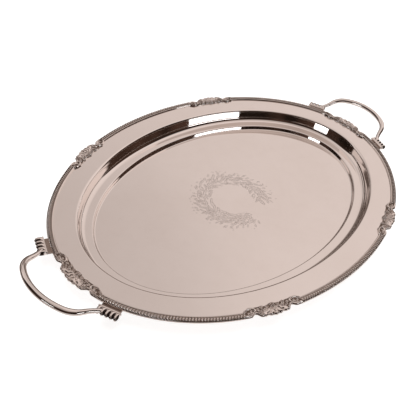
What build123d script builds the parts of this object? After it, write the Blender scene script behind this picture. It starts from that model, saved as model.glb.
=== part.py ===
from build123d import *
import os
from math import cos, hypot, radians, sin

os.makedirs("parts", exist_ok=True)

# Oval two-handled serving tray.
# Frame: origin at the centre of the underside of the floor, +X towards one
# handle, +Y across the tray, +Z up.  Millimetres.

# ---- driving dimensions -------------------------------------------------

# outline
rim_half_length = 231.5       # over the raised border, without the handles
rim_half_width = 170.5
border_overhang = 1.2         # how far the border stands out past the sheet

# pressed sheet
sheet = 1.4
well_half_length = 200.0      # mouth of the well
well_half_width = 138.0
floor_half_length = 182.5     # flat floor
floor_half_width = 120.5
ledge_height = 5.0            # top of the low inner step, above the floor
ledge_rise = 0.5              # the ledge climbs this much towards the wall
well_depth = 20.4             # flange above the floor
wall_lean = 3.0               # the steep wall leans out by this much
step_lean = 1.2               # and the low step by this much

# border strip, three ridges on a thin base
border_width = 7.0
border_base = 1.2
outer_wire_radius = 1.0
bead_row_radius = 1.5
inner_wire_radius = 0.7

# where the cast mounts interrupt the border, as angles of the ellipse
end_mount_span = 11.0         # each side of the long axis
side_mount_centre = 63.1
side_mount_half_span = 8.0
border_gap = 0.7              # clear angle between a border and a mount

# cast mounts
mount_thickness = 3.2
mount_boss = 1.4              # raised flower cluster on top of the plate
side_mount_half_length = 29.0
end_mount_half_length = 33.3
mount_half_width = 6.5
mount_inset = 7.0             # centre line of the mount, inside the rim
scroll_radius = 4.0
notch_radius = 4.5            # bite in the sheet edge beside each mount
shell_radius = 9.0
shell_forward = 1.0
petal_radius = 6.0
petal_at = 9.5
petal_forward = 2.0
flower_radius = 3.4
flower_pitch = 8.0

# handles
handle_tilt = 17.0            # the bail rises outwards from its feet
bail_origin_x = 231.5         # where the plane of the bail crosses the feet
bail_origin_z = 21.4
bail_reach = 40.5             # from that line to the middle of the bar
bail_front_radius = 62.0
bail_corner_radius = 23.0
bail_corner_start = 29.5      # where the front arc meets the corner arc
bail_corner_end = 78.5
bail_recurve_radius = 60.0    # the bar bends back the other way to meet its foot
bail_recurve_turn = 26.0
bar_radius = 3.3

# reeded feet and the lugs that carry them
foot_angle = 17.0             # ellipse angle of a foot, each side of the long axis
foot_standoff = 8.3           # centre line of a foot, outside the rim
foot_z = 21.0                 # middle of a foot
foot_length = 24.0
foot_width = 6.6
foot_height = 5.0
reed_count = 5
reed_pitch = 4.4
reed_radius = 2.0
reed_length = 8.4
reed_offset = 1.5             # two round reeds, this far above and below the middle
lug_length = 20.0             # along the rim
lug_thickness = 2.0
lug_grip = 9.0                # how far the lug reaches under the flange

# ---- levels and outlines that follow from them --------------------------

floor_top = sheet
ledge_top = floor_top + ledge_height
flange_top = floor_top + well_depth
flange_bottom = flange_top - sheet
sheet_half_length = rim_half_length - border_overhang
sheet_half_width = rim_half_width - border_overhang


def rim_point(angle, inset=0.0):
    """Point of the rim ellipse at an ellipse angle, moved square inwards."""
    x = rim_half_length * cos(radians(angle))
    y = rim_half_width * sin(radians(angle))
    nx, ny = rim_normal(angle)
    return (x - inset * nx, y - inset * ny)


def rim_normal(angle):
    """Unit vector square to the rim ellipse, pointing outwards."""
    nx = cos(radians(angle)) / rim_half_length
    ny = sin(radians(angle)) / rim_half_width
    size = hypot(nx, ny)
    return (nx / size, ny / size)


def rim_plane(angle, inset, height):
    """Level plane at the rim, local X along the rim and local Y outwards."""
    x, y = rim_point(angle, inset)
    nx, ny = rim_normal(angle)
    return Plane(origin=(x, y, height), x_dir=(ny, -nx, 0), z_dir=(0, 0, 1))


# ---- tray body: one pressed sheet ---------------------------------------

# (half length, half width, height) of the cavity, from the floor upwards
cavity = [
    (floor_half_length, floor_half_width, floor_top),
    (floor_half_length + step_lean, floor_half_width + step_lean, ledge_top),
    (well_half_length - wall_lean, well_half_width - wall_lean, ledge_top + ledge_rise),
    (well_half_length, well_half_width, flange_top),
]
# the underside is the same outline, one sheet thickness out and down
underside = [(a + sheet, b + sheet, z - sheet) for a, b, z in cavity]

mount_angles = {
    "right_end": 0.0,
    "back_right": side_mount_centre,
    "back_left": 180.0 - side_mount_centre,
    "left_end": 180.0,
    "front_left": 180.0 + side_mount_centre,
    "front_right": 360.0 - side_mount_centre,
}


def mount_half_span(place):
    """Half of the ellipse angle that a mount takes out of the border."""
    return end_mount_span if place.endswith("end") else side_mount_half_span


with BuildPart() as tray_body:
    for a, b, z in underside:
        with BuildSketch(Plane.XY.offset(z)):
            Ellipse(a, b)
    loft(ruled=True)
    with BuildSketch(Plane.XY.offset(flange_bottom)):
        Ellipse(sheet_half_length, sheet_half_width)
        for place, angle in mount_angles.items():
            for side in (-1, 1):
                corner = angle + side * (mount_half_span(place) + border_gap / 2)
                with Locations(rim_point(corner)):
                    Circle(notch_radius, mode=Mode.SUBTRACT)
    extrude(amount=sheet)
    for a, b, z in cavity:
        with BuildSketch(Plane.XY.offset(z)):
            Ellipse(a, b)
    loft(ruled=True, mode=Mode.SUBTRACT)
tray_body.part.label = "tray_body"
export_step(tray_body.part, "parts/tray_body.step")

# ---- border strips ------------------------------------------------------

mount_order = list(mount_angles)
border_names = [
    "border_back_right", "border_back", "border_back_left",
    "border_front_left", "border_front", "border_front_right",
]
for index, name in enumerate(border_names):
    before = mount_order[index]
    after = mount_order[(index + 1) % len(mount_order)]
    start = mount_angles[before] + mount_half_span(before) + border_gap
    stop = mount_angles[after] - mount_half_span(after) - border_gap
    if stop < start:
        stop += 360.0
    nx, ny = rim_normal(start)
    x, y = rim_point(start)
    with BuildPart() as border:
        with BuildLine() as edge:
            EllipticalCenterArc((0, 0, flange_top), rim_half_length, rim_half_width,
                                start, arc_size=stop - start)
        across = Plane(origin=(x, y, flange_top), x_dir=(nx, ny, 0), z_dir=-(edge.line % 0))
        with BuildSketch(across):
            with Locations((-border_width / 2, border_base / 2)):
                Rectangle(border_width, border_base)
            with Locations((-outer_wire_radius, border_base)):
                Circle(outer_wire_radius)
            with Locations((-border_width / 2, border_base)):
                Circle(bead_row_radius)
            with Locations((inner_wire_radius - border_width, border_base)):
                Circle(inner_wire_radius)
            with Locations((-border_width / 2, -border_width / 2)):
                Rectangle(2 * border_width, border_width, mode=Mode.SUBTRACT)
        sweep(path=edge.line)
    border.part.label = name
    export_step(border.part, f"parts/{name}.step")

# ---- cast mounts --------------------------------------------------------

for place, angle in mount_angles.items():
    at_end = place.endswith("end")
    half_length = end_mount_half_length if at_end else side_mount_half_length
    scroll_at = half_length - scroll_radius
    with BuildPart() as mount:
        # scalloped back plate: a band, a scroll at each end, a shell in front
        with BuildSketch(rim_plane(angle, mount_inset, flange_top)):
            SlotOverall(2 * scroll_at, 2 * mount_half_width)
            with Locations((-scroll_at, 0), (scroll_at, 0)):
                Circle(scroll_radius)
            with Locations((0, shell_forward)):
                Circle(shell_radius)
            with Locations((-petal_at, petal_forward), (petal_at, petal_forward)):
                Circle(petal_radius)
        extrude(amount=mount_thickness)
        # flower cluster standing on the plate
        with BuildSketch(rim_plane(angle, mount_inset, flange_top + mount_thickness)):
            with Locations((0, 0), (-flower_pitch, 0), (flower_pitch, 0)):
                Circle(flower_radius)
            with Locations((-scroll_at, 0), (scroll_at, 0)):
                Circle(scroll_radius / 2)
        extrude(amount=mount_boss)
    mount.part.label = f"mount_{place}"
    export_step(mount.part, f"parts/mount_{place}.step")

# ---- handle feet, lugs and bails ----------------------------------------

for side, half_turn in (("right", 0.0), ("left", 180.0)):
    feet = []
    for end, turn in (("back", 1), ("front", -1)):
        flip = -turn if side == "left" else turn
        angle = half_turn + flip * foot_angle
        middle = rim_plane(angle, -foot_standoff, foot_z)
        with BuildPart() as foot:
            with BuildSketch(middle.offset(-foot_height / 2)):
                SlotOverall(foot_length, foot_width)
            extrude(amount=foot_height)
            # transverse reeds, like knuckles, across the whole foot
            with BuildSketch(Plane(origin=middle.origin - middle.y_dir * reed_length / 2,
                                   x_dir=middle.x_dir, z_dir=middle.y_dir)):
                with GridLocations(reed_pitch, 1, reed_count, 1):
                    with Locations((0, reed_offset), (0, -reed_offset)):
                        Circle(reed_radius)
            extrude(amount=reed_length)
        foot.part.label = f"foot_{side}_{end}"
        export_step(foot.part, f"parts/foot_{side}_{end}.step")
        feet.append(foot.part)

        # flat lug from under the flange out to the side of the foot
        with BuildPart() as lug:
            with BuildSketch(rim_plane(angle, 0, flange_bottom - lug_thickness)):
                with Locations((0, (foot_standoff - lug_grip) / 2)):
                    RectangleRounded(lug_length, foot_standoff + lug_grip, lug_thickness)
            extrude(amount=lug_thickness)
            add(foot.part, mode=Mode.SUBTRACT)
        keep = lug.part.solids().sort_by(SortBy.VOLUME)[-1]
        keep.label = f"lug_{side}_{end}"
        export_step(keep, f"parts/lug_{side}_{end}.step")

    # round bar bent to a bail: wide front arc, two corner arcs, recurved ends
    outward = 1 if side == "right" else -1
    tilt = radians(handle_tilt)
    bail_plane = Plane(
        origin=(outward * bail_origin_x, 0, bail_origin_z),
        x_dir=(outward * cos(tilt), 0, sin(tilt)),
        z_dir=(-outward * sin(tilt), 0, cos(tilt)),
    )
    front_x = bail_reach - bail_front_radius
    turn_in = bail_front_radius - bail_corner_radius
    turn_out = bail_corner_radius + bail_recurve_radius
    with BuildPart() as bail:
        with BuildLine(bail_plane) as centre_line:
            CenterArc((front_x, 0), bail_front_radius, -bail_corner_start, 2 * bail_corner_start)
            for s in (-1, 1):
                corner_x = front_x + turn_in * cos(radians(bail_corner_start))
                corner_y = turn_in * sin(radians(bail_corner_start))
                recurve_x = corner_x + turn_out * cos(radians(bail_corner_end))
                recurve_y = corner_y + turn_out * sin(radians(bail_corner_end))
                CenterArc((corner_x, s * corner_y), bail_corner_radius,
                          s * bail_corner_start, s * (bail_corner_end - bail_corner_start))
                CenterArc((recurve_x, s * recurve_y), bail_recurve_radius,
                          s * (bail_corner_end + 180), -s * bail_recurve_turn)
        path = centre_line.wires()[0]
        with BuildSketch(Plane(origin=path @ 0, z_dir=path % 0)):
            Circle(bar_radius)
        sweep(path=path)
        add(feet, mode=Mode.SUBTRACT)
    bar = bail.part.solids().sort_by(SortBy.VOLUME)[-1]
    bar.label = f"handle_{side}"
    export_step(bar, f"parts/handle_{side}.step")
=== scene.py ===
import math

import bmesh
import bpy
import numpy as np
from mathutils import Matrix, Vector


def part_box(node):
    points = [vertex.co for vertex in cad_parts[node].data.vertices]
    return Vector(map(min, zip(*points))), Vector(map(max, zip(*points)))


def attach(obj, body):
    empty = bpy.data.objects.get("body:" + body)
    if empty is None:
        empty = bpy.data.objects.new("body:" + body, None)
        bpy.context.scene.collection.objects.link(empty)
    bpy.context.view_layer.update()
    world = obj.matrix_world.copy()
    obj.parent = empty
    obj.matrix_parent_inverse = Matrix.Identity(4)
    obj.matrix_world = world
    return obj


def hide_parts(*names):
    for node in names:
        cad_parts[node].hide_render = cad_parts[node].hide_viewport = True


# Oval silver-plated serving tray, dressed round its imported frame.  Metres.

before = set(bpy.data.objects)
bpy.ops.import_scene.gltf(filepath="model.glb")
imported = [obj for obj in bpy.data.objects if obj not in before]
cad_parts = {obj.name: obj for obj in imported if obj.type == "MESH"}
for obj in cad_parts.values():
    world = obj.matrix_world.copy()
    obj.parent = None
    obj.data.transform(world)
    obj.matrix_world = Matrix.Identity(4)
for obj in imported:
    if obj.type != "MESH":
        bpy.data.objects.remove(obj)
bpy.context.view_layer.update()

MM = 0.001
TURN = 2 * math.pi

# ---- sizes taken from the frame -----------------------------------------

body_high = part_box("tray_body")[1]
border_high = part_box("border_back")[1]
foot_low, foot_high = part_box("foot_right_back")

SHEET_LONG, SHEET_WIDE, FLANGE_TOP = body_high
RIM_WIDE = border_high.y
OVERHANG = RIM_WIDE - SHEET_WIDE
RIM_LONG = SHEET_LONG + OVERHANG
FOOT_MIDDLE = (foot_low.z + foot_high.z) / 2

# ---- pressed sheet ------------------------------------------------------

SHEET = 1.4 * MM
FLOOR_LONG, FLOOR_WIDE = 182.5 * MM, 120.5 * MM
WELL_LONG, WELL_WIDE = 200.0 * MM, 138.0 * MM
STEP_HEIGHT, STEP_LEAN = 5.0 * MM, 1.2 * MM
LEDGE_RISE, WALL_LEAN = 0.5 * MM, 3.0 * MM
FLANGE_DIP = 0.5 * MM          # the flange falls this much towards the mouth

# ---- cast mounts and border, as angles and lengths of the rim -----------

SIDE_CENTRE = math.radians(62.9)
SIDE_HALF, END_HALF = 32.6 * MM, 35.5 * MM      # half lengths along the rim
MOUNTS = {
    "right_end": (0.0, END_HALF),
    "back_right": (SIDE_CENTRE, SIDE_HALF),
    "back_left": (math.pi - SIDE_CENTRE, SIDE_HALF),
    "left_end": (math.pi, END_HALF),
    "front_left": (math.pi + SIDE_CENTRE, SIDE_HALF),
    "front_right": (TURN - SIDE_CENTRE, SIDE_HALF),
}
BORDERS = ["border_back_right", "border_back", "border_back_left",
           "border_front_left", "border_front", "border_front_right"]
BORDER_WIDTH = 7.0 * MM
GADROON_PITCH = 2.95 * MM
GADROON_POINTS = 11            # points along each gadroon
GADROON_SLANT = 0.30           # in pitches, from the middle of the row to its edge
FILLET_AT, FILLET_HALF, FILLET_HEIGHT = 1.05 * MM, 1.0 * MM, 1.75      # heights in millimetres
GROOVE_AT, GROOVE_HALF = 2.2 * MM, 0.28 * MM
ROW_AT, ROW_HALF, ROW_HEIGHT = 4.45 * MM, 2.4 * MM, 2.75
MOUNT_LAP = 1.0 * MM           # a border strip runs this far under the mount at each end
MOUNT_SEAT = 0.3 * MM          # and a mount's flat back lies this far below the flange
MOUNT_PATTERN_HALF = 29.0      # half length that the mount's pattern is drawn to, in millimetres

# centre along and outwards, radius, petals and height, in millimetres; no petals means a berry
FLOWERS = [
    ((0.0, -9.0), 2.9, 6, 3.9), ((5.5, -8.4), 2.3, 5, 3.5), ((10.8, -8.8), 2.3, 5, 3.4),
    ((2.8, -5.4), 1.1, 0, 3.2), ((8.2, -5.6), 1.3, 0, 3.1), ((14.8, -7.2), 1.4, 0, 3.0),
    ((0.0, -4.2), 1.3, 0, 3.3), ((5.4, -2.8), 1.5, 5, 3.3), ((9.8, -1.6), 1.3, 5, 3.2),
    ((21.4, -6.2), 1.3, 0, 2.6), ((27.0, -6.8), 1.9, 5, 2.9), ((24.6, -4.2), 1.2, 0, 2.8),
    ((0.0, 0.4), 1.7, 5, 3.4), ((3.6, 0.8), 0.9, 0, 3.0),
]

# ---- handles ------------------------------------------------------------

BAIL_TILT = math.radians(17.0)
BAIL_ORIGIN_X, BAIL_ORIGIN_Z = 231.5 * MM, 21.4 * MM
BAIL_REACH = 40.5 * MM
BAIL_BENDS = [(62.0 * MM, 29.5), (23.0 * MM, 49.0), (60.0 * MM, -26.0)]   # radius, turn in degrees
BAR_RADIUS, NECK_RADIUS = 3.27 * MM, 2.3 * MM
FOOT_ANGLE = math.radians(17.0)
FOOT_STANDOFF = 8.3 * MM
KNUCKLES, KNUCKLE_PITCH = 5, 4.6 * MM

# ---- chased wreath ------------------------------------------------------

CHASING = 0.022 * MM           # height of the leaves
# rows of leaves: radius in millimetres, count, length in millimetres, lean in radians
LEAF_ROWS = [(29, 36, 8.5, -0.6), (34, 44, 10.5, 0.25), (38, 48, 10.0, 0.75), (43, 50, 8.0, 0.35),
             (47, 40, 6.0, 1.0)]

# ---- surroundings -------------------------------------------------------

SCREEN_AZIMUTH, SCREEN_HALF = math.radians(47), math.radians(70)


# ---- mesh helpers -------------------------------------------------------

def grid_faces(rows, columns, wrap_rows, wrap_columns):
    """Four corners of every cell between neighbouring rows and columns of a grid of points."""
    i = np.arange(rows if wrap_rows else rows - 1)[:, None]
    j = np.arange(columns if wrap_columns else columns - 1)[None, :]
    near, far = (i * columns, (i + 1) % rows * columns)
    after = (j + 1) % columns
    return np.stack([near + j, far + j, far + after, near + after], -1).reshape(-1, 4)


def enclosed_volume(points, faces):
    """Sum over the faces of the signed volume of the wedge from the origin."""
    a, b, c, d = (points[faces[:, k]] for k in range(4))
    return float((np.cross(a, b) * c + np.cross(a, c) * d).sum())


def make_piece(name, skins, nodes, dress, recess=None):
    """One object from closed skins, each a grid of points with flags for wrapping its rows and
    columns.  A skin whose faces look inwards is turned, and points that meet are welded."""
    points, faces, start = [], [], 0
    for grid, wrap_rows, wrap_columns in skins:
        flat = grid.reshape(-1, 3)
        cells = grid_faces(grid.shape[0], grid.shape[1], wrap_rows, wrap_columns)
        if enclosed_volume(flat - flat.mean(0), cells) < 0:
            cells = cells[:, ::-1]
        points.append(flat)
        faces.append(cells + start)
        start += len(flat)
    mesh = bpy.data.meshes.new(name)
    mesh.from_pydata(np.concatenate(points).tolist(), [], np.concatenate(faces).tolist())
    if recess is not None:
        layer = mesh.attributes.new("recess", "FLOAT", "POINT")
        layer.data.foreach_set("value", np.concatenate([r.ravel() for r in recess]).astype(np.float32))
    work = bmesh.new()
    work.from_mesh(mesh)
    bmesh.ops.remove_doubles(work, verts=work.verts, dist=1e-7)
    work.to_mesh(mesh)
    work.free()
    mesh.shade_smooth()
    mesh.materials.append(dress)
    piece = bpy.data.objects.new(name, mesh)
    bpy.context.scene.collection.objects.link(piece)
    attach(piece, "root")
    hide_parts(*nodes)
    return piece


# ---- outlines -----------------------------------------------------------

def ease(x, low, high):
    """0 below low, 1 above high, and a cubic ease between."""
    t = np.clip((x - low) / (high - low), 0, 1)
    return t * t * (3 - 2 * t)


def bell(x, centre, width):
    """Bell of height 1 at centre."""
    return np.exp(-((x - centre) / width) ** 2)


def dome(distance, radius):
    """Quarter-round: 1 on the middle line, 0 at the radius and beyond, a half circle between."""
    return np.sqrt(np.clip(1 - (distance / radius) ** 2, 0, 1))


def rounded_path(corners, support=0.12 * MM, steps=10):
    """Polyline through (reach, height, radius) corners, each corner an arc tangent to both its
    runs, with one more point just before and after each arc to keep the flats flat."""
    path = [np.array([corners[0][:2]])]
    for before, corner, after in zip(corners, corners[1:], corners[2:]):
        p, q, r = (np.array(c[:2], float) for c in (before, corner, after))
        into, out = (q - p) / np.linalg.norm(q - p), (r - q) / np.linalg.norm(r - q)
        turn = math.atan2(into[0] * out[1] - into[1] * out[0], into @ out)
        cut = corner[2] * math.tan(abs(turn) / 2)
        side = np.array([-into[1], into[0]]) * math.copysign(1, turn)
        centre = q - into * cut + side * corner[2]
        swing = np.linspace(0, abs(turn), steps)[:, None]
        arc = centre + corner[2] * (np.sin(swing) * into - np.cos(swing) * side)
        path += [(q - into * (cut + support))[None], arc, (q + out * (cut + support))[None]]
    path.append(np.array([corners[-1][:2]]))
    return np.concatenate(path)


def on_rim(angle, outward, height):
    """Point of the rim ellipse at an ellipse angle, moved square to the edge and lifted."""
    nx, ny = np.cos(angle) / RIM_LONG, np.sin(angle) / RIM_WIDE
    size = np.hypot(nx, ny)
    x = RIM_LONG * np.cos(angle) + outward * nx / size
    y = RIM_WIDE * np.sin(angle) + outward * ny / size
    return np.stack(np.broadcast_arrays(x, y, height), -1)


# lengths along the rim, tabled once from the ellipse's own speed
table_angle = np.linspace(-TURN, 2 * TURN, 6001)
table_speed = np.hypot(RIM_LONG * np.sin(table_angle), RIM_WIDE * np.cos(table_angle))
table_steps = (table_speed[1:] + table_speed[:-1]) / 2 * np.diff(table_angle)
table_length = np.concatenate([[0], np.cumsum(table_steps)])


def rim_angle(start, along):
    """Ellipse angle reached from start after going that length along the rim."""
    return np.interp(np.interp(start, table_angle, table_length) + along, table_length, table_angle)


def rim_length(start, stop):
    """Length along the rim between two ellipse angles."""
    return np.interp(stop, table_angle, table_length) - np.interp(start, table_angle, table_length)


def mount_outer(along, half):
    """How far a mount reaches outwards of the rim: a bite beside each end scroll, then a fan with
    a scalloped edge in the middle."""
    s = np.abs(along) / half
    bite = -2.9 * bell(s, 0.62, 0.095)
    fan = 2.7 * bell(s, 0.0, 0.32) + 1.3 * bell(s, 0.42, 0.10)
    scallops = 0.35 * np.cos(s * 38.0) * ease(0.52 - s, 0.0, 0.1)
    return (bite + fan + scallops + 0.2 - 0.3 * ease(s, 0.95, 1.0)) * MM


def mount_inner(along, half):
    """How far a mount reaches inwards of the rim: a bulge for each end scroll and a wavy middle."""
    s = np.abs(along) / half
    scroll = 4.3 * bell(s, 0.74, 0.17)
    middle = 4.9 * bell(s, 0.0, 0.24) + 3.4 * bell(s, 0.38, 0.13) + 1.8 * bell(s, 0.54, 0.09)
    return -(7.2 + scroll + middle) * MM


def sheet_edge(angle):
    """Edge of the sheet, outwards of the rim: it stays behind the border and behind the bites of
    the mounts."""
    edge = np.full(np.shape(angle), -OVERHANG)
    for centre, half in MOUNTS.values():
        turned = (angle - centre + math.pi) % TURN - math.pi
        along = rim_length(centre, centre + turned)
        inside = np.minimum(mount_outer(along, half) - 0.8 * MM, -OVERHANG)
        edge = np.where(np.abs(along) < half, inside, edge)
    return edge


# ---- finishes -----------------------------------------------------------

class Value:
    """A node's output.  An expression on values, and on plain numbers, adds Math nodes."""

    def __init__(self, tree, socket):
        self.tree, self.socket = tree, socket

    def node(self, kind, settings=(), sockets=(), output=0):
        """Adds a node: its settings first, then the values or links of its sockets."""
        made = self.tree.nodes.new(kind)
        for key, value in dict(settings).items():
            if key == "stops":
                ramp = made.color_ramp
                while len(ramp.elements) < len(value):
                    ramp.elements.new(0.5)
                for element, (place, colour) in zip(ramp.elements, value):
                    element.position, element.color = place, colour
            else:
                setattr(made, key, value)
        for key, value in dict(sockets).items():
            if isinstance(value, Value):
                self.tree.links.new(value.socket, made.inputs[key])
            else:
                made.inputs[key].default_value = value
        return Value(self.tree, made.outputs[output] if len(made.outputs) else None)

    def math(self, operation, *terms):
        """One Math node on the terms."""
        return self.node("ShaderNodeMath", {"operation": operation}, dict(enumerate(terms)))

    def __add__(self, other):
        return self.math("ADD", self, other)

    def __radd__(self, other):
        return self.math("ADD", other, self)

    def __sub__(self, other):
        return self.math("SUBTRACT", self, other)

    def __rsub__(self, other):
        return self.math("SUBTRACT", other, self)

    def __mul__(self, other):
        return self.math("MULTIPLY", self, other)

    def __rmul__(self, other):
        return self.math("MULTIPLY", other, self)

    def __truediv__(self, other):
        return self.math("DIVIDE", self, other)

    def __pow__(self, other):
        return self.math("POWER", self, other)

    def clamp(self):
        """Held between 0 and 1."""
        return self.node("ShaderNodeClamp", (), {0: self})

    def ease(self, low, high):
        """0 below low, 1 above high, and smooth between."""
        return self.node("ShaderNodeMapRange", {"interpolation_type": "SMOOTHSTEP"},
                         {"Value": self, "From Min": low, "From Max": high})


def colour_mix(share, first, second):
    """Colour going from first to second as share goes from 0 to 1."""
    sockets = {0: share, 6: first if isinstance(first, Value) else (*first, 1),
               7: second if isinstance(second, Value) else (*second, 1)}
    return share.node("ShaderNodeMix", {"data_type": "RGBA"}, sockets, output=2)


def new_material(name):
    """An empty node material and its tree as a starting value."""
    material = bpy.data.materials.new(name)
    material.use_nodes = True
    material.node_tree.nodes.clear()
    return material, Value(material.node_tree, None)


def noise(start, where, scale, detail=2.0, roughness=0.5):
    """Cloudy noise about 0.5, with that many clouds to a metre."""
    return start.node("ShaderNodeTexNoise", {"noise_dimensions": "3D"},
                      {"Vector": where, "Scale": scale, "Detail": detail, "Roughness": roughness})


def object_place(start):
    """Place on the piece, in metres."""
    return start.node("ShaderNodeTexCoord", output=3)


def mapped(start, where, turn, size):
    """A place turned and then scaled, which draws a pattern out along one direction."""
    return start.node("ShaderNodeMapping", (), {"Vector": where, "Rotation": turn, "Scale": size})


def silver(name, bright, dull, roughness, hairlines, grain, patina=None):
    """Silver plate.  Slow noise goes between a bright and a dull silver; hairline scratches in
    three directions add to the roughness and to the bump; where there is a recess attribute, its
    hollows hold a dark patina."""
    material, start = new_material(name)
    place = object_place(start)
    cloud = noise(start, place, 11.0, 3.0).ease(0.36, 0.66)
    mottle = noise(start, place, 60.0, 4.0, 0.6).ease(0.40, 0.70)
    lines = None
    for turn in (0.35, 1.45, 2.55):
        streak = mapped(start, place, (0, 0, turn), (26.0, 900.0, 240.0))
        gate = noise(start, mapped(start, place, (0, 0, turn), (9.0, 14.0, 9.0)), 1.0).ease(0.50, 0.64)
        mark = noise(start, streak, 1.0, 1.0).ease(0.63, 0.72) * gate
        lines = mark if lines is None else lines + mark
    lines = lines.clamp()
    tone = colour_mix(cloud * 0.65 + mottle * 0.35, bright, dull)
    rough = roughness + cloud * roughness * 0.5 + mottle * roughness * 0.4 + lines * hairlines
    height = noise(start, place, 1400.0, 2.0) * grain - lines * hairlines
    if patina is not None:
        recess = start.node("ShaderNodeAttribute", {"attribute_name": "recess"}, output=2)
        stain = (recess + (noise(start, place, 420.0, 3.0) - 0.5) * 0.30).ease(0.35, 0.85)
        tone = colour_mix(stain, tone, patina)
        rough = rough + stain * 0.14
    bumped = start.node("ShaderNodeBump", (), {"Strength": 0.25, "Distance": 0.02 * MM, "Height": height})
    shader = start.node("ShaderNodeBsdfPrincipled", (), {
        "Base Color": tone, "Roughness": rough, "Normal": bumped, "Metallic": 1.0})
    start.node("ShaderNodeOutputMaterial", (), {"Surface": shader})
    return material


# ---- tray body ----------------------------------------------------------

def tray_point(angle, reach, height):
    """Point of the sheet: rings of ellipses out to the mouth, then straight lines in plan from
    the mouth to the sheet's edge."""
    inner_reach = np.minimum(reach, WELL_WIDE)
    long = np.interp(inner_reach, [0, FLOOR_WIDE, WELL_WIDE], [0, FLOOR_LONG, WELL_LONG])
    inner = np.stack(np.broadcast_arrays(long * np.cos(angle), inner_reach * np.sin(angle), height), -1)
    edge = on_rim(angle, sheet_edge(angle), height)
    share = (np.maximum(reach - WELL_WIDE, 0) / (SHEET_WIDE - WELL_WIDE))[..., None]
    return inner * (1 - share) + edge * share


def tray_body(dress):
    """Pressed sheet: a closed section of floor, step, ledge, wall and flange, top and underside,
    carried round the ellipse."""
    floor, ledge = SHEET, SHEET + STEP_HEIGHT
    mouth = FLANGE_TOP - FLANGE_DIP
    section = rounded_path([
        (0.0, floor, 0), (FLOOR_WIDE, floor, 1.5 * MM), (FLOOR_WIDE + STEP_LEAN, ledge, 1.7 * MM),
        (WELL_WIDE - WALL_LEAN, ledge + LEDGE_RISE, 6.5 * MM), (WELL_WIDE, mouth, 3.2 * MM),
        (SHEET_WIDE, FLANGE_TOP, 0.4 * MM), (SHEET_WIDE, FLANGE_TOP - SHEET, 0.4 * MM),
        (WELL_WIDE + SHEET, mouth - SHEET, 1.8 * MM),
        (WELL_WIDE - WALL_LEAN + SHEET, ledge + LEDGE_RISE - SHEET, 7.5 * MM),
        (FLOOR_WIDE + STEP_LEAN + SHEET, ledge - SHEET, 1.0 * MM),
        (FLOOR_WIDE + SHEET, floor - SHEET, 3.0 * MM), (0.0, floor - SHEET, 0),
    ])
    angle = np.linspace(0, TURN, 640, endpoint=False)[:, None]
    grid = tray_point(angle, section[None, :, 0], section[None, :, 1] + 0 * angle)
    return make_piece("tray_body_plate", [(grid, True, False)], ["tray_body"], dress)


# ---- border -------------------------------------------------------------

def border_strip(name, start, stop, dress):
    """Gadrooned border.  Its section goes from a smooth fillet on the inside, over a groove, to a
    round row cut across by slanted gadroons, and turns down over the edge of the sheet."""
    length = rim_length(start, stop)
    along = np.linspace(0, length, int(length / GADROON_PITCH * GADROON_POINTS))[:, None]
    across = np.concatenate([np.linspace(0, 2.1, 9), np.linspace(2.3, 6.6, 15), [6.8]])[None, :] * MM
    fillet = FILLET_HEIGHT * dome(across - FILLET_AT, FILLET_HALF)
    row = dome(across - ROW_AT, ROW_HALF)
    slant = GADROON_SLANT * (across - ROW_AT) / ROW_HALF
    lobe = np.abs(np.sin(math.pi * (along / GADROON_PITCH + slant)))
    height = np.maximum(np.maximum(fillet, ROW_HEIGHT * row * (0.34 + 0.66 * lobe)), 0.25)
    valley = np.maximum(ease(1 - lobe, 0.28, 0.75) * ease(row, 0.1, 0.4), 0.12 * (1 - row))
    hollow = np.where(across < GROOVE_AT, 0.4 * (1 - fillet / FILLET_HEIGHT), valley)
    hollow = np.maximum(hollow, bell(across, GROOVE_AT, GROOVE_HALF))
    under = np.array([(7.0, -0.1), (6.95, -1.2), (6.6, -1.55), (6.0, -1.5), (5.85, -0.1), (0.0, -0.1)]) * MM
    ones = np.ones_like(along)
    reach = np.concatenate([across * ones, under[None, :, 0] * ones], 1) - BORDER_WIDTH
    level = np.concatenate([height * MM, under[None, :, 1] * ones], 1) + FLANGE_TOP
    hollow = np.concatenate([hollow * ones, np.full((len(along), len(under)), 0.1)], 1)
    grid = on_rim(rim_angle(start, along), reach, level)
    ends = [np.repeat(grid[k].mean(0)[None], grid.shape[1], 0)[None] for k in (0, -1)]
    grid = np.concatenate([ends[0], grid, ends[1]])
    hollow = np.concatenate([hollow[:1], hollow, hollow[-1:]])
    return make_piece(name + "_gadroon", [(grid, False, True)], [name], dress, [hollow])


# ---- cast mounts --------------------------------------------------------

def scroll(centre, radii, start, turn, shrink):
    """Points of a spiral: an ellipse gone round from start by turn degrees, its radii shrinking."""
    u = np.linspace(0, 1, 40)
    angle = np.radians(start + turn * u)
    size = 1 - shrink * u
    return np.stack([centre[0] + radii[0] * size * np.cos(angle),
                     centre[1] + radii[1] * size * np.sin(angle)], -1)


def ridge(s, t, route, width, height):
    """Round ridge along a route: a half circle of the distance to the nearest point of the route,
    thinner towards its far end."""
    gap = np.hypot(s[..., None] - route[:, 0], t[..., None] - route[:, 1])
    taper = 1 - 0.35 * gap.argmin(-1) / len(route)
    return height * taper * dome(gap.min(-1), width * taper)


def rosette(s, t, centre, radius, petals, height):
    """Flower: petals as a wavy radius and a wavy height round a bead in a hollow."""
    x, y = s - centre[0], t - centre[1]
    out, round_angle = np.hypot(x, y), np.arctan2(y, x)
    wave = np.abs(np.cos(petals * round_angle / 2)) ** 0.6
    leaf = dome(out, radius * (0.70 + 0.30 * wave)) * (0.62 + 0.38 * wave)
    hollow = 0.45 * bell(out, 0.36 * radius, 0.12 * radius)
    return height * np.maximum(leaf - hollow, 0.95 * dome(out, 0.30 * radius))


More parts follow.
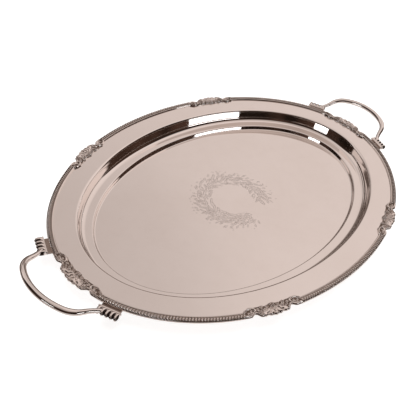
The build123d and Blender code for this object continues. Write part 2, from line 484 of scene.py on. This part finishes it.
def mount_relief(s, t, outer):
    """Height over the flange, in millimetres, at s along from the middle and t outwards: the
    greatest of a plate, mouldings, scrolls, a ribbed shell, leaves and flowers."""
    relief = 1.0 + 0 * s
    relief = np.maximum(relief, 1.9 * dome(t - outer + 1.1, 1.1))
    end_scroll = scroll((22.0, -6.0), (7.2, 4.3), 12, -300, 0.62)
    relief = np.maximum(relief, ridge(s, t, end_scroll, 1.7, 3.3))
    stem = scroll((30.0, -4.6), (11.5, 3.2), 95, 72, 0.0)
    relief = np.maximum(relief, ridge(s, t, stem, 1.3, 2.7))
    fan, reach = np.arctan2(s, t + 8.6), np.hypot(s, t + 8.6)
    rib = np.abs(np.cos(fan * 7.2 + 0.5 * np.sin(reach * 0.9))) ** 0.6
    shell = (1.5 + 1.6 * ease(reach, 2.5, 7.5) - 0.5 * ease(reach, 9.0, 12.0)) * (0.50 + 0.50 * rib)
    relief = np.maximum(relief, shell * ease(1.25 - fan, 0.0, 0.12) * ease(12.5 - s, 0.0, 1.5))
    veins = 0.62 + 0.38 * np.abs(np.sin(1.5 * s - 1.1 * t))
    leaves = veins * np.abs(np.sin(0.62 * s + 0.85 * t + 0.6)) ** 0.6
    leaves = leaves * dome(t + 2.4, 5.4) * dome(s - 12.8, 5.4)
    relief = np.maximum(relief, 3.1 * leaves)
    for centre, radius, petals, height in FLOWERS:
        relief = np.maximum(relief, rosette(s, t, centre, radius, petals, height))
    return relief


def mount(place, centre, half, dress):
    """Cast mount: a relief over the strip between its inner and outer outlines, rolled down to the
    flange along both, on a flat back."""
    across = (1 - np.cos(np.linspace(0, math.pi, 72)))[None, :] / 2
    along = np.linspace(-half, half, 300)[:, None]
    inner, outer = mount_inner(along, half), mount_outer(along, half)
    out = inner + (outer - inner) * across
    s = np.abs(along) / half * MOUNT_PATTERN_HALF + 0 * out
    relief = mount_relief(s, out / MM, outer / MM)
    roll = (1 - (2 * across - 1) ** 10) ** 0.5 * dome(np.maximum(np.abs(along) / half - 0.955, 0), 0.046)
    level = FLANGE_TOP - MOUNT_SEAT + (relief + MOUNT_SEAT / MM) * MM * roll
    recess = ease(1.75 - relief, 0.0, 0.75) * (roll > 0.8)
    back = np.stack([outer, inner], 1)[..., 0]
    grid = on_rim(rim_angle(centre, along), np.concatenate([out, back], 1),
                  np.concatenate([level, np.full(back.shape, FLANGE_TOP - MOUNT_SEAT)], 1))
    recess = np.concatenate([recess, np.full(back.shape, 0.4)], 1)
    node = "mount_" + place
    return make_piece(node + "_casting", [(grid, False, True)], [node], dress, [recess])


# ---- handles ------------------------------------------------------------

def bail_path(outward, count):
    """Centre line from foot to foot: from the middle each way, a heading that turns evenly through
    each bend in turn, summed along the length, in a plane tilted up from the feet."""
    spans = [radius * math.radians(abs(turn)) for radius, turn in BAIL_BENDS]
    gone = np.linspace(0, sum(spans), count)
    turned = np.interp(gone, np.cumsum([0] + spans), np.cumsum([0] + [turn for _, turn in BAIL_BENDS]))
    heading = math.pi / 2 + np.radians(turned)
    step = np.diff(gone)[:, None]
    way = np.stack([np.cos(heading), np.sin(heading)], -1)
    flat = np.concatenate([[[0, 0]], np.cumsum((way[1:] + way[:-1]) / 2 * step, 0)]) + [BAIL_REACH, 0]
    mirror = np.array([1, -1])
    flat = np.concatenate([flat[:0:-1] * mirror, flat])
    way = np.concatenate([way[:0:-1] * [-1, 1], way])
    side = np.array([outward * math.cos(BAIL_TILT), 0, math.sin(BAIL_TILT)])
    rise = np.array([-outward * math.sin(BAIL_TILT), 0, math.cos(BAIL_TILT)])
    origin = np.array([outward * BAIL_ORIGIN_X, 0, BAIL_ORIGIN_Z])
    centre = origin + flat[:, :1] * side + flat[:, 1:] * np.array([0, 1, 0])
    inward = way[:, 1:] * side - way[:, :1] * np.array([0, 1, 0])
    return centre, inward, rise, np.concatenate([gone[:0:-1], gone])


def handle_bar(side, outward, dress):
    """Round bar carried along the bail, thinner towards a small collar at each foot, with rounded
    ends hidden in the feet."""
    centre, across, rise, gone = bail_path(outward, 150)
    length = gone.max()
    radius = BAR_RADIUS + (NECK_RADIUS - BAR_RADIUS) * ease(gone, 0.45 * length, 0.86 * length)
    radius = radius + 0.8 * MM * bell(gone, length - 4.2 * MM, 1.0 * MM)
    radius = (radius * np.sqrt(np.clip((length - gone) / (1.5 * MM), 0, 1)))[:, None, None]
    angle = np.linspace(0, TURN, 28, endpoint=False)[None, :, None]
    grid = centre[:, None] + radius * (np.cos(angle) * across[:, None] + np.sin(angle) * rise)
    return make_piece(f"handle_{side}_bar", [(grid, False, True)], [f"handle_{side}"], dress)


def foot(side, end, angle, dress):
    """Reeded foot: a rounded bar along the rim whose radius dips between the knuckles, most of all
    on its outer side, and a plain rail behind it towards the rim."""
    origin = on_rim(angle, FOOT_STANDOFF, FOOT_MIDDLE)
    out = (on_rim(angle, FOOT_STANDOFF + 1, 0.0) - on_rim(angle, FOOT_STANDOFF, 0.0))
    along = np.array([-out[1], out[0], 0])
    up = np.array([0, 0, 1.0])
    half = KNUCKLES * KNUCKLE_PITCH / 2
    x = np.linspace(-half, half, 150)[:, None]
    turn = np.linspace(0, TURN, 48, endpoint=False)[None, :]
    power = 2.6
    square = (np.abs(np.cos(turn)) ** power + np.abs(np.sin(turn)) ** power) ** (-1 / power)
    knuckle = np.abs(np.cos(math.pi * x / KNUCKLE_PITCH)) ** 1.5
    facing = ease(np.cos(turn), -0.95, -0.1)
    waist = bell((turn + math.pi) % TURN - math.pi - 0.42, 0, 0.22)
    size = square * (1 - 0.36 * facing * (1 - knuckle) - 0.20 * waist * knuckle)
    size = size * dome(np.maximum(np.abs(x) - half + 1.4 * MM, 0), 1.4 * MM)
    reeds = (origin + x[..., None] * along + (4.3 * MM * size * np.cos(turn) + 0.4 * MM)[..., None] * out
             + (3.1 * MM * size * np.sin(turn))[..., None] * up)
    rail_size = (np.cos(turn) ** 4 + np.sin(turn) ** 4) ** -0.25
    rail_size = rail_size * dome(np.maximum(np.abs(x) - half + 1.0 * MM, 0), 1.1 * MM)
    rail = (origin + 1.02 * x[..., None] * along
            + (1.0 * MM * rail_size * np.cos(turn) - 3.9 * MM)[..., None] * out
            + (1.9 * MM * rail_size * np.sin(turn) + 0.2 * MM)[..., None] * up)
    recess = [np.maximum(1.7 * (1 - knuckle) * facing, waist), 0 * x + 0 * turn]
    node = f"foot_{side}_{end}"
    return make_piece(node + "_reeded", [(reeds, False, True), (rail, False, True)],
                      [node], dress, recess)


# ---- chased wreath ------------------------------------------------------

def leaf(x, y, heading, length, width, bow, height):
    """Chased leaf: pointed outline along a bowed centre line, raised each side of a sunk vein."""
    u = np.linspace(0, 1, 10)[:, None]
    v = np.array([-1, -0.5, 0, 0.5, 1, 0.6, -0.6])[None, :]
    lift = np.array([0, 1, 0.35, 1, 0, -0.4, -0.4])[None, :] * height
    half = width / 2 * np.sin(math.pi * u ** 0.8) ** 0.8
    forward = (u - 0.5) * length + 0 * v
    aside = bow * length * (0.25 - (u - 0.5) ** 2) + v * half
    c, s = math.cos(heading), math.sin(heading)
    level = SHEET + lift * np.sin(math.pi * u) ** 0.5
    return np.stack([x + c * forward - s * aside, y + s * forward + c * aside, level], -1)


def wreath(dress):
    """Laurel wreath round the middle of the floor: rows of leaves set round an oval and leaning in
    and out by turns, open at one side, with a tied ribbon."""
    draw = np.random.default_rng(7)
    skins = []
    for radius, count, length, lean in LEAF_ROWS:
        for place in np.linspace(math.radians(-42), math.radians(262), count):
            angle = place + draw.normal(0, 0.03)
            r = radius + draw.normal(0, 1.2)
            heading = angle + math.pi / 2 + lean + draw.normal(0, 0.2)
            skins.append(leaf(r * math.cos(angle) * MM, r * math.sin(angle) * MM, heading,
                              length * draw.uniform(0.8, 1.15) * MM, draw.uniform(1.7, 2.7) * MM,
                              draw.uniform(-0.3, 0.3), CHASING))
    for k in range(6):
        for angle, length in ((math.radians(196), 26), (math.radians(238), 24)):
            r = 24 + 3.1 * k
            skins.append(leaf(r * math.cos(angle) * MM, r * math.sin(angle) * MM, angle + math.pi / 2 + 0.1,
                              (length - 1.5 * k) * MM, 1.1 * MM, -0.30, CHASING))
    for angle in draw.uniform(math.radians(-40), math.radians(255), 40):
        r = draw.uniform(49, 54)
        skins.append(leaf(r * math.cos(angle) * MM, r * math.sin(angle) * MM, angle, 1.8 * MM, 1.4 * MM, 0,
                          CHASING))
    return make_piece("chased_wreath", [(s, False, True) for s in skins], [], dress)


# ---- camera, floor and light --------------------------------------------

VIEW_AZIMUTH, VIEW_ELEVATION, VIEW_ROLL = (math.radians(a) for a in (-52.06, 41.58, 10.56))
VIEW_DISTANCE = 727.5 * MM
VIEW_ASIDE, VIEW_ALOFT = -27.49 * MM, -12.75 * MM
FRAME_WIDTH_MM, LENS_MM = 36.0, 52.33


def direction(azimuth, elevation):
    """Unit vector at an azimuth from +X towards +Y and an elevation, in degrees."""
    a, e = math.radians(azimuth), math.radians(elevation)
    return np.array([math.cos(a) * math.cos(e), math.sin(a) * math.cos(e), math.sin(e)])


def placed(right, up, back, place):
    """Matrix of an object that looks against back, from its three directions and its place."""
    pose = np.eye(4)
    pose[:3, 0], pose[:3, 1], pose[:3, 2], pose[:3, 3] = right, up, back, place
    return Matrix(pose.tolist())


def facing(back):
    """Level right and up directions for something that looks against back."""
    right = np.cross([0, 0, 1], back)
    right /= np.linalg.norm(right)
    return right, np.cross(back, right)


def camera():
    """Camera back along the viewing direction, moved aside in its own plane, and rolled."""
    back = direction(math.degrees(VIEW_AZIMUTH) - 90, math.degrees(VIEW_ELEVATION))
    level, upright = facing(back)
    right = math.cos(VIEW_ROLL) * level + math.sin(VIEW_ROLL) * upright
    up = math.cos(VIEW_ROLL) * upright - math.sin(VIEW_ROLL) * level
    place = back * VIEW_DISTANCE + VIEW_ASIDE * right + VIEW_ALOFT * up + [0, 0, SHEET]
    eye = bpy.data.objects.new("camera", bpy.data.cameras.new("camera"))
    eye.data.sensor_width, eye.data.lens = FRAME_WIDTH_MM, LENS_MM
    eye.data.clip_start, eye.data.clip_end = 0.01, 100
    eye.matrix_world = placed(right, up, back, place)
    bpy.context.scene.collection.objects.link(eye)
    bpy.context.scene.camera = eye


def softbox(name, azimuth, elevation, distance, width, height, brightness, mirrored=True):
    """Rectangular lamp facing the tray; its power gives that brightness over its face, and
    mirrored says whether the metal reflects its shape."""
    back = -direction(azimuth, elevation)
    right, up = facing(back) if abs(back[2]) < 0.99 else (np.array([1, 0, 0]), np.array([0, -1, 0]))
    lamp = bpy.data.lights.new(name, "AREA")
    lamp.shape, lamp.size, lamp.size_y = "RECTANGLE", width, height
    lamp.energy = brightness * math.pi * width * height
    held = bpy.data.objects.new(name, lamp)
    held.matrix_world = placed(right, up, -back, -back * distance)
    held.visible_glossy = mirrored
    bpy.context.scene.collection.objects.link(held)


def studio():
    """Surroundings by direction: a tall warm screen on one side, with dark shapes before it, a dim
    room on the other, and over the room a paler ceiling.  Under the level of the table it is dark,
    then pale further down.  Seen directly, all of it is plain white."""
    world = bpy.data.worlds.new("studio")
    bpy.context.scene.world = world
    world.use_nodes = True
    world.node_tree.nodes.clear()
    start = Value(world.node_tree, None)
    way = start.node("ShaderNodeTexCoord", output=0)
    x, y, z = (way.node("ShaderNodeSeparateXYZ", (), {0: way}, output=k) for k in range(3))
    level = (x * x + y * y + 1e-6) ** 0.5
    towards = (x * math.cos(SCREEN_AZIMUTH) + y * math.sin(SCREEN_AZIMUTH)) / level
    aside = (x * math.sin(SCREEN_AZIMUTH) - y * math.cos(SCREEN_AZIMUTH)) / level
    screen = towards.ease(math.cos(SCREEN_HALF + 0.03), math.cos(SCREEN_HALF - 0.03))
    ceiling = z.ease(math.sin(math.radians(45)), math.sin(math.radians(58)))
    fall = 1 + aside * 0.22 + (1 - aside.ease(-0.75, -0.35)) * 0.22
    shade = direction(60, 52)
    blotch = x * shade[0] + y * shade[1] + z * shade[2]
    blotch = blotch.ease(math.cos(math.radians(21)), math.cos(math.radians(8)))
    fall = fall * (1 - blotch * 0.13)
    warm = colour_mix(z.ease(0.05, 0.45), (0.57, 0.49, 0.455), (0.675, 0.585, 0.545))
    easel = aside.ease(-0.31, -0.25) * (1 - aside.ease(0.34, 0.46)) * (1 - z.ease(0.42, 0.49))
    warm = colour_mix(easel * 0.85, warm, (0.15, 0.11, 0.09))
    rail = aside.ease(-0.76, -0.72) * (1 - aside.ease(-0.31, -0.25))
    rail = rail * z.ease(0.335, 0.35) * (1 - z.ease(0.45, 0.49))
    warm = colour_mix(rail * 0.92, warm, (0.07, 0.048, 0.038))
    foot = (1 - z.ease(0.10, 0.22)) * (1 - aside.ease(0.42, 0.60))
    warm = colour_mix(foot, warm, (0.055, 0.038, 0.030))
    gloom = noise(start, way, 2.3, 3.0).ease(0.40, 0.75)
    room = colour_mix(gloom, (0.011, 0.007, 0.005), (0.075, 0.040, 0.028))
    top = colour_mix(towards.ease(-0.4, 0.7), (0.46, 0.39, 0.355), (0.66, 0.59, 0.56))
    around = colour_mix(screen, room, warm)
    tone = colour_mix(ceiling * (1 - screen), around, top)
    hidden = screen * z.ease(-0.50, -0.30) + (1 - screen) * z.ease(-0.46, -0.32)
    ground = colour_mix(hidden, (0.66, 0.60, 0.57), (0.06, 0.042, 0.034))
    tone = colour_mix(1 - z.ease(-0.12, 0.02), tone, ground)
    bright = start.node("ShaderNodeVectorMath", {"operation": "SCALE"}, {0: tone, "Scale": fall})
    shown = colour_mix(start.node("ShaderNodeLightPath", output=0), bright, (1.0, 1.0, 1.0))
    lit = start.node("ShaderNodeBackground", (), {"Color": shown, "Strength": 1.0})
    start.node("ShaderNodeOutputWorld", (), {"Surface": lit})


def floor_sheet():
    """Wide pale table just under the tray, a little aglow and left out of reflections."""
    material, start = new_material("pale_table")
    place = object_place(start)
    grainy = colour_mix(noise(start, place, 30.0, 2.0), (0.55, 0.55, 0.55), (0.58, 0.58, 0.58))
    shader = start.node("ShaderNodeBsdfPrincipled", (), {
        "Base Color": grainy, "Roughness": 0.9, "Emission Color": (1, 1, 1, 1), "Emission Strength": 0.82})
    start.node("ShaderNodeOutputMaterial", (), {"Surface": shader})
    reach = 30.0
    mesh = bpy.data.meshes.new("table")
    corners = [(-reach, -reach, 0), (reach, -reach, 0), (reach, reach, 0), (-reach, reach, 0)]
    mesh.from_pydata(corners, [], [(0, 1, 2, 3)])
    mesh.materials.append(material)
    table = bpy.data.objects.new("table", mesh)
    table.location.z = -0.3 * MM
    bpy.context.scene.collection.objects.link(table)
    table.visible_glossy = False


# ---- making -------------------------------------------------------------

camera()
studio()
floor_sheet()
softbox("window_front", -82.0, 12.5, 6.0, 2.9, 0.80, 3.2)
softbox("window_side", 177.5, 8.7, 6.0, 2.2, 0.58, 3.2)
softbox("overhead", 0, 90, 2.4, 1.7, 1.7, 3.0, mirrored=False)
bpy.context.scene.view_settings.view_transform = "Standard"

sheet_silver = silver("sheet_silver", (0.945, 0.895, 0.872), (0.915, 0.860, 0.833), 0.035, 0.05, 0.02)
cast_silver = silver("cast_silver", (0.93, 0.875, 0.85), (0.86, 0.79, 0.75), 0.075, 0.08, 0.3,
                     patina=(0.19, 0.145, 0.12))
border_silver = silver("border_silver", (0.93, 0.88, 0.855), (0.88, 0.82, 0.79), 0.06, 0.08, 0.2,
                       patina=(0.30, 0.25, 0.22))
bar_silver = silver("bar_silver", (0.945, 0.90, 0.88), (0.92, 0.87, 0.845), 0.04, 0.07, 0.05)
fitting_silver = silver("fitting_silver", (0.94, 0.885, 0.86), (0.88, 0.82, 0.79), 0.08, 0.08, 0.4,
                        patina=(0.045, 0.03, 0.024))
chased_silver = silver("chased_silver", (0.92, 0.87, 0.85), (0.89, 0.835, 0.81), 0.09, 0.05, 0.3)
# the lugs' dark silver is painted shade: it stands in for the shadow between the border and the feet
lug_painted_shade_silver = silver("lug_painted_shade_silver", (0.42, 0.35, 0.31), (0.28, 0.22, 0.19), 0.20, 0.10, 0.5)

tray_body(sheet_silver)
order = list(MOUNTS.values())
for index, name in enumerate(BORDERS):
    (before, half_before), (after, half_after) = order[index], order[(index + 1) % len(order)]
    after = after if after > before else after + TURN
    border_strip(name, rim_angle(before, half_before - MOUNT_LAP), rim_angle(after, MOUNT_LAP - half_after),
                 border_silver)
for place, (centre, half) in MOUNTS.items():
    mount(place, centre, half, cast_silver)
for side, outward in (("right", 1), ("left", -1)):
    handle_bar(side, outward, bar_silver)
    for end, turned in (("back", 1), ("front", -1)):
        angle = turned * FOOT_ANGLE if side == "right" else math.pi - turned * FOOT_ANGLE
        foot(side, end, angle, fitting_silver)
        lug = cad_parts[f"lug_{side}_{end}"]
        # the dark lug silver is painted shade, not a different metal
        lug.data.materials.clear()
        lug.data.materials.append(lug_painted_shade_silver)
wreath(chased_silver)
